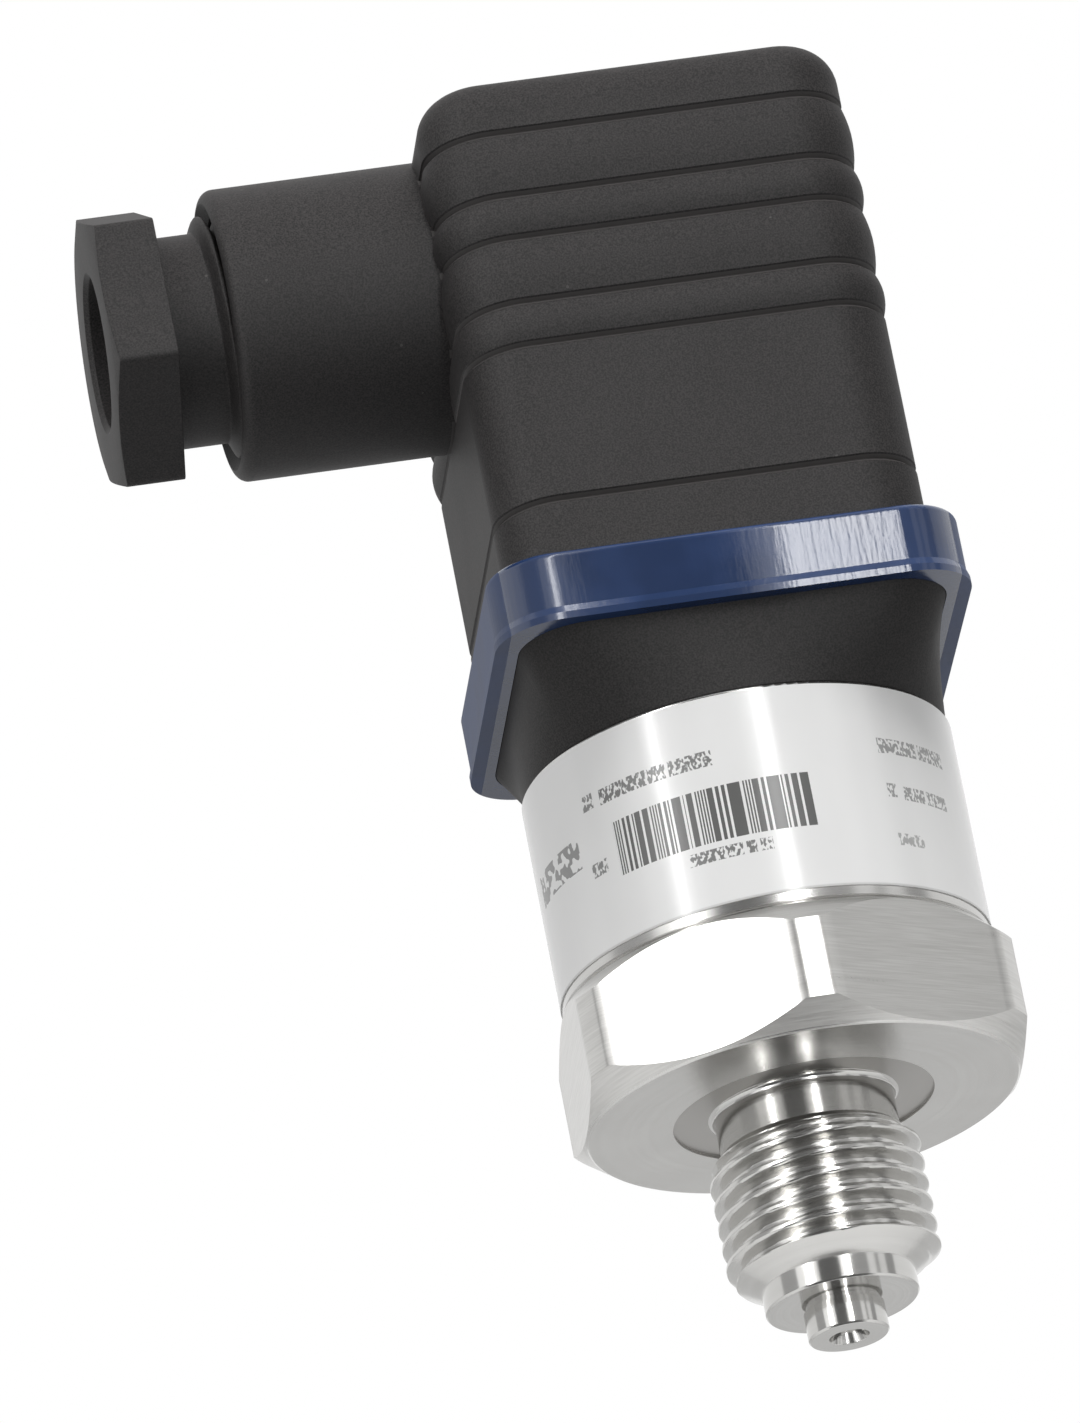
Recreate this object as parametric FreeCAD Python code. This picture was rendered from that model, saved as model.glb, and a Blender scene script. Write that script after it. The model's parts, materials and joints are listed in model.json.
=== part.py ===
import FreeCAD, Part
import math
import os

# Pressure transmitter with a right-angle cable plug.
#
# Millimetres. The origin is the mouth of the pressure port, on the spigot's end face.
# +Z runs up the instrument's axis to the plug's top, and the cable leaves towards -X.
# The functions draw with heights over the seat face, and every piece is raised by
# the shank's length when it is written. Screw threads are plain cylinders.

V = FreeCAD.Vector
UP = V(0, 0, 1)

# ---- process fitting: one turned piece of stainless steel ----
HEX_AF = 27.0               # across the flats
HEX_CORNER_STEP = 1.56      # corners are turned down to this far outside the flats
SEAT_STEP = 0.2             # the flat seat stops this far inside the flats
HEX_HEIGHT = 8.3
HEX_LOWER_CHAMFER = 1.45    # height of the chamfer over the seat
SEAL_RECESS_R = 8.1         # recess for a sealing ring, round the neck
SEAL_RECESS_DEPTH = 0.8
NECK_R = 5.55
NECK_FILLET = 0.5
THREAD_R = 6.5785           # G 1/4
THREAD_START = 3.3          # below the seat
THREAD_RUN_OUT = 0.9
THREAD_LENGTH = 7.8
PILOT_R = 4.75
PILOT_LENGTH = 1.77
SPIGOT_R = 2.5
SPIGOT_LENGTH = 1.23
SPIGOT_UNDERCUT_R = 2.0
SPIGOT_UNDERCUT_LENGTH = 0.9
EDGE_BREAK = 0.3
PORT_R = 1.25
CHAMBER_R = 4.0             # pressure chamber under the cell
CHAMBER_DEPTH = 0.8
CUP_FLOOR = 3.4             # height of the cup's floor over the seat
REGISTER_HEIGHT = 4.1       # collar over the hexagon, inside the tube

# ---- measuring cell and its seal ----
CELL_R = 8.95
CELL_HEIGHT = 6.35
CELL_SIDE_GAP = 0.15
CELL_NOTCH_R = 0.9
SEAL_RING_R = 5.9           # middle of the ring
SEAL_SECTION_R = 0.7
SEAL_GROOVE_HALF_WIDTH = 0.9
SEAL_STANDS_PROUD = 0.2
THRUST_THREAD_R = 9.85
THRUST_THREAD_GAP = 0.05
THRUST_LEDGE = 0.35         # the wider bore starts this far under the cell's top
THRUST_HEIGHT = 2.2
THRUST_HOLE_R = 6.4
THRUST_SLOT_WIDTH = 2.0
THRUST_SLOT_DEPTH = 1.0
SENSOR_PIN_R = 0.25
SENSOR_PIN_PITCH = 2.54
SENSOR_PIN_COUNT = 4
SENSOR_PIN_Y = 4.2

# ---- tube and label ----
TUBE_STEP = 0.14            # the tube stands this far inside the hexagon's flats
TUBE_WALL = 1.16
TUBE_LENGTH = 14.4
TUBE_RIM_ROUND = 0.3
TUBE_FOOT_CHAMFER = 0.2
REGISTER_GAP = 0.02
LABEL_THICKNESS = 0.08
LABEL_FOOT = 0.75           # bare steel under the label
LABEL_HEIGHT = 13.35
LABEL_GAP_DEG = 4.0         # its two ends don't meet at the back

# ---- connector base ----
BASE_STEP = 0.16            # its round foot stands this far inside the tube's outside
BASE_HALF = 13.3
BASE_CORNER = 4.0
BASE_LOFT_HEIGHT = 5.6
BASE_RIM_HEIGHT = 1.3
BASE_FLAT_SPREAD_DEG = 34.0  # half the arc that blends into each flat side
BASE_NECK_DEPTH = 5.1
BASE_NECK_GAP = 0.05
BASE_WALL = 1.55
BASE_FLOOR = 3.0
BASE_RING_SECTION_R = 0.475
BASE_RING_GROOVE_HALF = 0.65
BASE_RING_DROP = 2.4        # below the tube's rim
CENTRE_BOSS_R = 4.2
NUT_R = 2.4
NUT_HEIGHT = 5.8
NUT_SINK = 0.4
NUT_FLOOR = 0.8

# ---- contact blades ----
BLADE_RADIUS = 9.0          # from the axis to a blade's middle
BLADE_WIDTH = 6.3
BLADE_THICKNESS = 0.8
BLADE_REACH = 8.9
EARTH_EXTRA = 1.0
BLADE_TIP = 0.8
TAIL_WIDTH = 1.6
TAIL_BELOW_BOARD = 0.9

# ---- circuit board ----
BOARD_SIDE_GAP = 1.0        # to the tube's bore
BOARD_THICKNESS = 1.6
BOARD_UNDER_NECK = 1.6      # gap between the board and the base's neck
BOARD_HOLE_GAP = 0.06
CHIP_SIZE = (4.9, 3.9, 1.5)
CHIP_LEG = (0.42, 1.05, 0.2)
CHIP_LEG_PITCH = 1.27
CHIP_LEGS_PER_SIDE = 4
TANTALUM_SIZE = (7.3, 4.3, 2.9)
TANTALUM_FROM_AXIS = 6.0
CERAMIC_CAP_SIZE = (3.2, 1.6, 1.2)
CERAMIC_CAP_PITCH = 2.4
CERAMIC_CAP_COUNT = 3
CERAMIC_CAP_FROM_AXIS = 5.4
DIODE_SIZE = (4.3, 2.6, 2.2)
DIODE_PITCH = 3.4
DIODE_COUNT = 2
DIODE_FROM_AXIS = 5.6

# ---- square gasket between base and plug ----
GASKET_HALF_X = 14.7
GASKET_HALF_Y = 14.1
GASKET_CORNER = 4.0
GASKET_SKIRT = 0.15         # the lower edge stands out this far
GASKET_SKIRT_HEIGHT = 0.9
GASKET_WEB = 1.5
GASKET_UPPER_LIP = 1.7
GASKET_FIT = 0.05           # round the base's rim
GASKET_HOUSING_GAP = 0.1    # round and under the housing's foot
GASKET_WINDOW = 9.8
GASKET_ROUND = 0.45

# ---- plug housing ----
HOUSING_HALF_X = 13.25
HOUSING_HALF_Y = 13.4
HOUSING_CORNER = 4.0
HOUSING_SHIFT = 0.2         # the outside stands this far over towards the cable
HOUSING_TOP_ROUND = 2.6
HOUSING_WALL = 1.75
HOUSING_ROOF = 2.9
GROOVE_DEPTH = 0.3
GROOVE_HALF_WIDTH = 0.28
RIB_BULGE = 0.24
SKIRT_GROOVE = 5.35         # heights over the housing's foot
GRIP_GROOVES = (15.77, 18.64, 22.94, 25.8, 30.03)
BOSS_R = 4.0
BOSS_DROP = 12.0
HEAD_RECESS_R = 3.75
HEAD_RECESS_DEPTH = 2.6
STOP_RIB_R = 1.9

# ---- cable gland on the housing ----
GLAND_HEIGHT = 24.76        # axis over the housing's foot
GLAND_END = 26.6            # from the instrument's axis
GLAND_R = 9.13
GLAND_UNDER_ROOF = 0.41     # the barrel stands this far under the housing's top
GLAND_RIM_ROUND = 0.8
GLAND_MOUTH_CHAMFER = 0.7
GLAND_THREAD_GAP = 0.05
GLAND_SEAT = 13.6           # inner end of the bore, from the instrument's axis
CABLE_HOLE_R = 5.5

# ---- cable seal, slip washer and pressure screw ----
CABLE_SEAL_LENGTH = 5.0
CABLE_SEAL_GAP = 0.15
CABLE_SEAL_BORE_R = 3.6
CABLE_SEAL_CHAMFER = 0.8
GLAND_PITCH = 1.41
WASHER_THICKNESS = 0.8
WASHER_PLAY = 0.04          # left over the seal after one turn in
WASHER_SIDE_GAP = 0.35
NOSE_R = 5.6
NOSE_GAP = 0.05
NOSE_STEP = 0.1             # the nose ends this far inside the washer
GLAND_THREAD_R = 7.6
GLAND_THREAD_LENGTH = 6.3
GLAND_THREAD_CHAMFER = 0.6
GLAND_NECK_R = 6.6
GLAND_NECK_LENGTH = 3.1
SCREW_BORE_R = 4.75
SCREW_FLARE = 0.9
GLAND_HEX_AF = 16.3
GLAND_HEX_LENGTH = 3.95
GLAND_HEX_FACE_R = 8.0
GLAND_HEX_CHAMFER = 0.55
GLAND_HEX_TURN = 3.0        # degrees the hexagon stands round from upright
GLAND_HEX_EDGE_R = 0.5

# ---- terminal insert ----
INSERT_HALF = 11.0
INSERT_CORNER = 2.4
INSERT_HEIGHT = 17.7
TERMINAL_FLOOR = 9.8        # over the insert's foot
CHAMBER_HALF_WIDTH = 3.6
COLUMN_HALF = 3.0
POCKET_HALF = 2.4
POCKET_CENTRE = 7.1
POCKET_FLOOR = 3.0
POCKET_CORNER = 0.8
SLOT_GAP = 0.15
SHANK_GAP = 0.3

# ---- terminals: contact, clamp plate and screw ----
LEAF_THICKNESS = 0.4
LEAF_GAP = 0.05             # between leaf and blade
LEAF_FOOT = 0.7             # over the insert's foot
LEAF_WIDTH = 6.4
LEAF_FLARE = 0.3
TAB_THICKNESS = 0.9
TAB_INNER = 3.5             # from the axis
TERMINAL_RADIUS = 5.8
PLATE_THICKNESS = 0.8
PLATE_HALF_WIDTH = 2.9
PLATE_HALF_DEPTH = 2.3
M3_R = 1.5
M3_GAP = 0.05
TERMINAL_SHANK = 6.2
TERMINAL_HEAD_R = 2.5
TERMINAL_HEAD_HEIGHT = 1.8
SLOT_WIDTH = 0.7
SLOT_DEPTH = 0.8

# ---- central fixing screw and its seal ----
SCREW_SEAL_R = 3.3
SCREW_SEAL_THICKNESS = 0.8
WAIST_R = 1.2
FIXING_HEAD_R = 2.9
FIXING_HEAD_HEIGHT = 1.7
FIXING_TIP_IN_NUT = 5.0
FIXING_THREAD_LENGTH = 10.0
CROSS_WIDTH = 0.7
CROSS_LENGTH = 3.4
CROSS_DEPTH = 1.1

# ---- round sizes that follow the hexagon ----
HEX_TURNED_R = HEX_AF / 2 + HEX_CORNER_STEP
SEAT_R = HEX_AF / 2 - SEAT_STEP
TUBE_R = HEX_AF / 2 - TUBE_STEP
TUBE_BORE_R = TUBE_R - TUBE_WALL
BASE_ROUND_R = TUBE_R - BASE_STEP
BOARD_R = TUBE_BORE_R - BOARD_SIDE_GAP

# ---- levels up the axis ----
SHANK_LENGTH = THREAD_START + THREAD_LENGTH + PILOT_LENGTH + SPIGOT_UNDERCUT_LENGTH + SPIGOT_LENGTH
CELL_FOOT = CUP_FLOOR + SEAL_STANDS_PROUD
CELL_TOP = CELL_FOOT + CELL_HEIGHT
TUBE_FOOT = HEX_HEIGHT
TUBE_TOP = TUBE_FOOT + TUBE_LENGTH
RIM_FOOT = TUBE_TOP + BASE_LOFT_HEIGHT
BASE_FACE = RIM_FOOT + BASE_RIM_HEIGHT
NECK_FOOT = TUBE_TOP - BASE_NECK_DEPTH
BASE_CEILING = BASE_FACE - BASE_FLOOR
BOARD_TOP = NECK_FOOT - BOARD_UNDER_NECK
BOARD_FOOT = BOARD_TOP - BOARD_THICKNESS
HOUSING_FOOT = BASE_FACE + GASKET_WEB + GASKET_HOUSING_GAP
GLAND_Z = HOUSING_FOOT + GLAND_HEIGHT
HOUSING_TOP = GLAND_Z + GLAND_R + GLAND_UNDER_ROOF
CAVITY_TOP = HOUSING_TOP - HOUSING_ROOF
INSERT_FOOT = HOUSING_FOOT
INSERT_TOP = INSERT_FOOT + INSERT_HEIGHT
TAB_FOOT = INSERT_FOOT + TERMINAL_FLOOR
TAB_TOP = TAB_FOOT + TAB_THICKNESS
PLATE_TOP = TAB_TOP + PLATE_THICKNESS
RECESS_FLOOR = HOUSING_TOP - HEAD_RECESS_DEPTH
HEAD_FOOT = RECESS_FLOOR + SCREW_SEAL_THICKNESS
NUT_TOP = BASE_FACE - NUT_SINK

# ---- places along the cable's axis, as distances from the instrument's axis ----
CABLE_SEAL_END = GLAND_SEAT + CABLE_SEAL_LENGTH
WASHER_INNER = CABLE_SEAL_END + GLAND_PITCH + WASHER_PLAY
SCREW_INNER = WASHER_INNER + WASHER_THICKNESS
GLAND_THREAD_END = SCREW_INNER + GLAND_THREAD_LENGTH
GLAND_HEX_INNER = GLAND_THREAD_END + GLAND_NECK_LENGTH
GLAND_HEX_OUTER = GLAND_HEX_INNER + GLAND_HEX_LENGTH

QUARTERS = (0, 90, 180, 270)
EARTH_ANGLE = QUARTERS[0]
LINE_ANGLES = QUARTERS[1:]


# ---- shapes ----

def drum(radius, foot, top, x=0.0, y=0.0):
    """An upright cylinder between two heights."""
    return Part.makeCylinder(radius, top - foot, V(x, y, foot))


def ring(outer, inner, foot, top):
    """An upright tube between two heights."""
    return drum(outer, foot, top).cut(drum(inner, foot, top))


def turned(outline):
    """A solid turned about Z from a closed outline of (radius, height) points."""
    points = [V(radius, 0, height) for radius, height in outline]
    face = Part.Face(Part.makePolygon(points + points[:1]))
    return face.revolve(V(), UP, 360)


def along_cable(shape):
    """Lay a shape that was turned about Z along the cable's axis, with Z running outward."""
    laid = shape.copy()
    laid.rotate(V(), V(0, 1, 0), -90)
    laid.translate(V(0, 0, GLAND_Z))
    return laid


def block(x0, x1, y0, y1, foot, top):
    """An upright box from its faces."""
    return Part.makeBox(x1 - x0, y1 - y0, top - foot, V(x0, y0, foot))


def centred_block(size, x, y, foot):
    """A box of a given size, centred over a point."""
    width, depth, height = size
    return Part.makeBox(width, depth, height, V(x - width / 2, y - depth / 2, foot))


def round_rectangle(half_x, half_y, corner, height):
    """A level rectangle with round corners, from eight edges that start on the +X side."""
    edges = []
    inset_x = half_x - corner
    inset_y = half_y - corner
    centres = [V(inset_x, inset_y, height), V(-inset_x, inset_y, height),
               V(-inset_x, -inset_y, height), V(inset_x, -inset_y, height)]
    for quarter, centre in enumerate(centres):
        before = centres[quarter - 1]
        start = math.radians(90 * quarter)
        reach = V(corner * math.cos(start), corner * math.sin(start), 0)
        edges.append(Part.LineSegment(before + reach, centre + reach).toShape())
        edges.append(Part.makeCircle(corner, centre, UP, 90 * quarter, 90 * (quarter + 1)))
    return Part.Wire(Part.__sortEdges__(edges))


def square_prism(half_x, half_y, corner, foot, top):
    """An upright prism with round corners."""
    face = Part.Face(round_rectangle(half_x, half_y, corner, foot))
    return face.extrude(V(0, 0, top - foot))


def hexagon_prism(across_flats, foot, top, turn=0.0, edge_round=0.0):
    """An upright hexagonal prism with a flat facing +X, then turned about Z."""
    radius = across_flats / math.sqrt(3)
    points = [V(radius * math.cos(math.radians(30 + 60 * k + turn)),
                radius * math.sin(math.radians(30 + 60 * k + turn)), foot) for k in range(6)]
    prism = Part.Face(Part.makePolygon(points + points[:1])).extrude(V(0, 0, top - foot))
    if edge_round > 0:
        upright = [edge for edge in prism.Edges if abs(edge.tangentAt(edge.FirstParameter).z) > 0.99]
        prism = prism.makeFillet(edge_round, upright)
    return prism


def joined(shapes):
    """One solid from pieces that touch or overlap, without the seams between them."""
    whole = shapes[0].fuse(shapes[1:])
    return whole.removeSplitter()


def round_the_corners(section, half_x, half_y, corner):
    """Carry a section round a rectangle. It is drawn in X and Z from a corner's own axis."""
    inset_x = half_x - corner
    inset_y = half_y - corner
    centres = [V(inset_x, inset_y, 0), V(-inset_x, inset_y, 0),
               V(-inset_x, -inset_y, 0), V(inset_x, -inset_y, 0)]
    pieces = []
    for quarter, centre in enumerate(centres):
        start = section.copy()
        start.rotate(V(), UP, 90 * quarter)
        start.translate(centre)
        pieces.append(start.revolve(centre, UP, 90))
        end = section.copy()
        end.rotate(V(), UP, 90 * (quarter + 1))
        end.translate(centre)
        following = centres[(quarter + 1) % 4]
        pieces.append(end.extrude(following - centre))
    return pieces


def at_quarter(shape, angle):
    """Turn a shape that was made on the +X side to another side."""
    moved = shape.copy()
    moved.rotate(V(), UP, angle)
    return moved


def group(shapes):
    """Several like pieces in one file, each its own solid."""
    return Part.makeCompound(shapes)


# ---- the transmitter ----

def process_fitting():
    """Hexagon, threaded shank with its spigot, and the cup that holds the cell."""
    thread_end = -(THREAD_START + THREAD_LENGTH)
    pilot_end = thread_end - PILOT_LENGTH
    undercut_end = pilot_end - SPIGOT_UNDERCUT_LENGTH
    spigot_end = undercut_end - SPIGOT_LENGTH
    thread_step = THREAD_R - PILOT_R
    corner_cut = HEX_TURNED_R - TUBE_R
    cup_r = CELL_R + CELL_SIDE_GAP
    thrust_r = THRUST_THREAD_R + THRUST_THREAD_GAP
    register_top = HEX_HEIGHT + REGISTER_HEIGHT
    register_r = TUBE_BORE_R - REGISTER_GAP
    groove_floor = CELL_FOOT - 2 * SEAL_SECTION_R
    ledge = CELL_TOP - THRUST_LEDGE
    body = turned([
        (PORT_R, spigot_end),
        (SPIGOT_R - EDGE_BREAK, spigot_end),
        (SPIGOT_R, spigot_end + EDGE_BREAK),
        (SPIGOT_R, undercut_end),
        (SPIGOT_UNDERCUT_R, undercut_end),
        (SPIGOT_UNDERCUT_R, pilot_end),
        (PILOT_R - EDGE_BREAK, pilot_end),
        (PILOT_R, pilot_end + EDGE_BREAK),
        (PILOT_R, thread_end - EDGE_BREAK),
        (THREAD_R, thread_end - EDGE_BREAK + thread_step * math.tan(math.radians(30))),
        (THREAD_R, -THREAD_START),
        (NECK_R, -THREAD_START + THREAD_RUN_OUT),
        (NECK_R, SEAL_RECESS_DEPTH),
        (SEAL_RECESS_R, SEAL_RECESS_DEPTH),
        (SEAL_RECESS_R, 0),
        (SEAT_R, 0),
        (HEX_TURNED_R, HEX_LOWER_CHAMFER),
        (HEX_TURNED_R, HEX_HEIGHT - corner_cut),
        (TUBE_R, HEX_HEIGHT),
        (register_r, HEX_HEIGHT),
        (register_r, register_top),
        (thrust_r, register_top),
        (thrust_r, ledge),
        (cup_r, ledge),
        (cup_r, CUP_FLOOR),
        (SEAL_RING_R + SEAL_GROOVE_HALF_WIDTH, CUP_FLOOR),
        (SEAL_RING_R + SEAL_GROOVE_HALF_WIDTH, groove_floor),
        (SEAL_RING_R - SEAL_GROOVE_HALF_WIDTH, groove_floor),
        (SEAL_RING_R - SEAL_GROOVE_HALF_WIDTH, CUP_FLOOR),
        (CHAMBER_R, CUP_FLOOR),
        (CHAMBER_R, CUP_FLOOR - CHAMBER_DEPTH),
        (PORT_R, CUP_FLOOR - CHAMBER_DEPTH),
    ])
    neck_root = [edge for edge in body.Edges
                 if abs(edge.BoundBox.ZMin - SEAL_RECESS_DEPTH) < 0.001
                 and abs(edge.BoundBox.ZMax - SEAL_RECESS_DEPTH) < 0.001
                 and abs(edge.BoundBox.XMax - NECK_R) < 0.001]
    body = body.makeFillet(NECK_FILLET, neck_root)
    hexagon = hexagon_prism(HEX_AF, 0, HEX_HEIGHT)
    shank = drum(SEAT_R, spigot_end, 0)
    collar = drum(TUBE_R, HEX_HEIGHT, register_top)
    return body.common(joined([hexagon, shank, collar]))


def cell_seal():
    """Elastomer ring squeezed between the cup's groove and the cell."""
    return Part.makeTorus(SEAL_RING_R, SEAL_SECTION_R, V(0, 0, CELL_FOOT - SEAL_SECTION_R), UP)


def pressure_cell():
    """Sintered ceramic cell with three locating notches in its rim."""
    cell = drum(CELL_R, CELL_FOOT, CELL_TOP)
    for k in range(3):
        angle = math.radians(90 + 120 * k)
        notch = drum(CELL_NOTCH_R, CELL_FOOT, CELL_TOP, CELL_R * math.cos(angle), CELL_R * math.sin(angle))
        cell = cell.cut(notch)
    return cell


def thrust_ring():
    """Threaded ring that holds the cell down, with two slots for a pin spanner."""
    top = CELL_TOP + THRUST_HEIGHT
    body = ring(THRUST_THREAD_R, THRUST_HOLE_R, CELL_TOP, top)
    half = THRUST_SLOT_WIDTH / 2
    slot = block(-THRUST_THREAD_R, THRUST_THREAD_R, -half, half, top - THRUST_SLOT_DEPTH, top)
    return body.cut(slot)


def sensor_pin_places():
    """The row of solder pins between the cell and the board."""
    middle = (SENSOR_PIN_COUNT - 1) / 2
    return [((k - middle) * SENSOR_PIN_PITCH, SENSOR_PIN_Y) for k in range(SENSOR_PIN_COUNT)]


def sensor_pins():
    return group([drum(SENSOR_PIN_R, CELL_TOP, BOARD_TOP + SENSOR_PIN_R, x, y)
                  for x, y in sensor_pin_places()])


def tube():
    """Steel sleeve, its foot chamfered and its rim rounded."""
    body = ring(TUBE_R, TUBE_BORE_R, TUBE_FOOT, TUBE_TOP)
    outside = [edge for edge in body.Edges if edge.Closed and edge.BoundBox.XMax > TUBE_R - 0.01]
    rim = [edge for edge in outside if edge.BoundBox.ZMin > TUBE_TOP - 0.01]
    body = body.makeFillet(TUBE_RIM_ROUND, rim)
    foot = [edge for edge in body.Edges
            if edge.BoundBox.ZMax < TUBE_FOOT + 0.01 and edge.BoundBox.XMax > TUBE_R - 0.01]
    return body.makeChamfer(TUBE_FOOT_CHAMFER, foot)


def label():
    """Film wrapped round the tube, its ends apart at the back."""
    foot = TUBE_FOOT + LABEL_FOOT
    section = block(TUBE_R, TUBE_R + LABEL_THICKNESS, 0, 0.001, foot, foot + LABEL_HEIGHT).Faces
    start = min(section, key=lambda face: face.CenterOfMass.y)
    start.rotate(V(), UP, 90 + LABEL_GAP_DEG / 2)
    return start.revolve(V(), UP, 360 - LABEL_GAP_DEG)


# ---- connector base ----

def base_transition():
    """The round foot that spreads to the square rim."""
    square = round_rectangle(BASE_HALF, BASE_HALF, BASE_CORNER, RIM_FOOT)
    arcs = []
    for quarter in range(4):
        middle = 90 * quarter
        flat_end = middle + BASE_FLAT_SPREAD_DEG
        corner_end = middle + 90 - BASE_FLAT_SPREAD_DEG
        foot = V(0, 0, TUBE_TOP)
        arcs.append(Part.makeCircle(BASE_ROUND_R, foot, UP, middle - BASE_FLAT_SPREAD_DEG, flat_end))
        arcs.append(Part.makeCircle(BASE_ROUND_R, foot, UP, flat_end, corner_end))
    circle = Part.Wire(Part.__sortEdges__(arcs))
    return Part.makeLoft([circle, square], True, True)


def blade_outline(top):
    """One blade, seen from the axis: a wide contact with a bevelled tip and a narrow tail."""
    half = BLADE_WIDTH / 2
    tail = TAIL_WIDTH / 2
    foot = BOARD_FOOT - TAIL_BELOW_BOARD
    return [(-tail, foot), (tail, foot), (tail, BASE_CEILING), (half, BASE_CEILING),
            (half, top - BLADE_TIP), (half - BLADE_TIP, top), (-half + BLADE_TIP, top),
            (-half, top - BLADE_TIP), (-half, BASE_CEILING), (-tail, BASE_CEILING)]


def blade(top):
    """A blade on the +X side, its width across the radius."""
    inner = BLADE_RADIUS - BLADE_THICKNESS / 2
    points = [V(inner, y, z) for y, z in blade_outline(top)]
    face = Part.Face(Part.makePolygon(points + points[:1]))
    return face.extrude(V(BLADE_THICKNESS, 0, 0))


def line_blades():
    return group([at_quarter(blade(BASE_FACE + BLADE_REACH), angle) for angle in LINE_ANGLES])


def earth_blade():
    return at_quarter(blade(BASE_FACE + BLADE_REACH + EARTH_EXTRA), EARTH_ANGLE)


def connector_base():
    """Moulded base: neck in the tube, round to square body, and the floor that holds the blades."""
    neck_r = TUBE_BORE_R - BASE_NECK_GAP
    cavity_r = neck_r - BASE_WALL
    ring_z = TUBE_TOP - BASE_RING_DROP
    groove_r = TUBE_BORE_R - 2 * BASE_RING_SECTION_R
    body = joined([
        base_transition(),
        square_prism(BASE_HALF, BASE_HALF, BASE_CORNER, RIM_FOOT, BASE_FACE),
        drum(neck_r, NECK_FOOT, TUBE_TOP),
    ])
    body = body.cut(drum(cavity_r, NECK_FOOT, BASE_CEILING))
    boss = drum(CENTRE_BOSS_R, NUT_TOP - NUT_HEIGHT - NUT_FLOOR, BASE_CEILING)
    body = joined([body, boss])
    groove = ring(TUBE_R, groove_r, ring_z - BASE_RING_GROOVE_HALF, ring_z + BASE_RING_GROOVE_HALF)
    body = body.cut(groove)
    body = body.cut(drum(NUT_R, NUT_TOP - NUT_HEIGHT, BASE_FACE))
    blades = [earth_blade()] + line_blades().Solids
    return body.cut(blades)


def base_seal():
    """O-ring in the neck's groove."""
    middle = TUBE_BORE_R - BASE_RING_SECTION_R
    return Part.makeTorus(middle, BASE_RING_SECTION_R, V(0, 0, TUBE_TOP - BASE_RING_DROP), UP)


def centre_nut():
    """Brass thread insert for the plug's fixing screw."""
    return ring(NUT_R, M3_R + M3_GAP, NUT_TOP - NUT_HEIGHT, NUT_TOP)


# ---- electronics ----

def circuit_board():
    """Round board that hangs on the blades' tails."""
    board = drum(BOARD_R, BOARD_FOOT, BOARD_TOP)
    half_x = BLADE_THICKNESS / 2 + BOARD_HOLE_GAP
    half_y = TAIL_WIDTH / 2 + BOARD_HOLE_GAP
    slot = block(BLADE_RADIUS - half_x, BLADE_RADIUS + half_x, -half_y, half_y, BOARD_FOOT, BOARD_TOP)
    board = board.cut([at_quarter(slot, angle) for angle in QUARTERS])
    holes = [drum(SENSOR_PIN_R + BOARD_HOLE_GAP, BOARD_FOOT, BOARD_TOP, x, y) for x, y in sensor_pin_places()]
    return board.cut(holes)


def converter_chip():
    """Signal chip with its two rows of legs."""
    width, depth, height = CHIP_SIZE
    leg_width, leg_reach, leg_height = CHIP_LEG
    pieces = [centred_block((width, depth, height), 0, 0, BOARD_TOP + leg_height / 2)]
    middle = (CHIP_LEGS_PER_SIDE - 1) / 2
    for k in range(CHIP_LEGS_PER_SIDE):
        x = (k - middle) * CHIP_LEG_PITCH
        for side in (-1, 1):
            y = side * (depth + leg_reach) / 2
            pieces.append(centred_block((leg_width, leg_reach, leg_height), x, y, BOARD_TOP))
    return joined(pieces)


def input_capacitor():
    return centred_block(TANTALUM_SIZE, 0, -TANTALUM_FROM_AXIS, BOARD_TOP)


def filter_capacitors():
    middle = (CERAMIC_CAP_COUNT - 1) / 2
    places = [(k - middle) * CERAMIC_CAP_PITCH for k in range(CERAMIC_CAP_COUNT)]
    return group([centred_block(CERAMIC_CAP_SIZE, -CERAMIC_CAP_FROM_AXIS, y, BOARD_TOP) for y in places])


def surge_diodes():
    middle = (DIODE_COUNT - 1) / 2
    places = [(k - middle) * DIODE_PITCH for k in range(DIODE_COUNT)]
    return group([centred_block(DIODE_SIZE, DIODE_FROM_AXIS, y, BOARD_TOP) for y in places])


# ---- gasket ----

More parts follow.
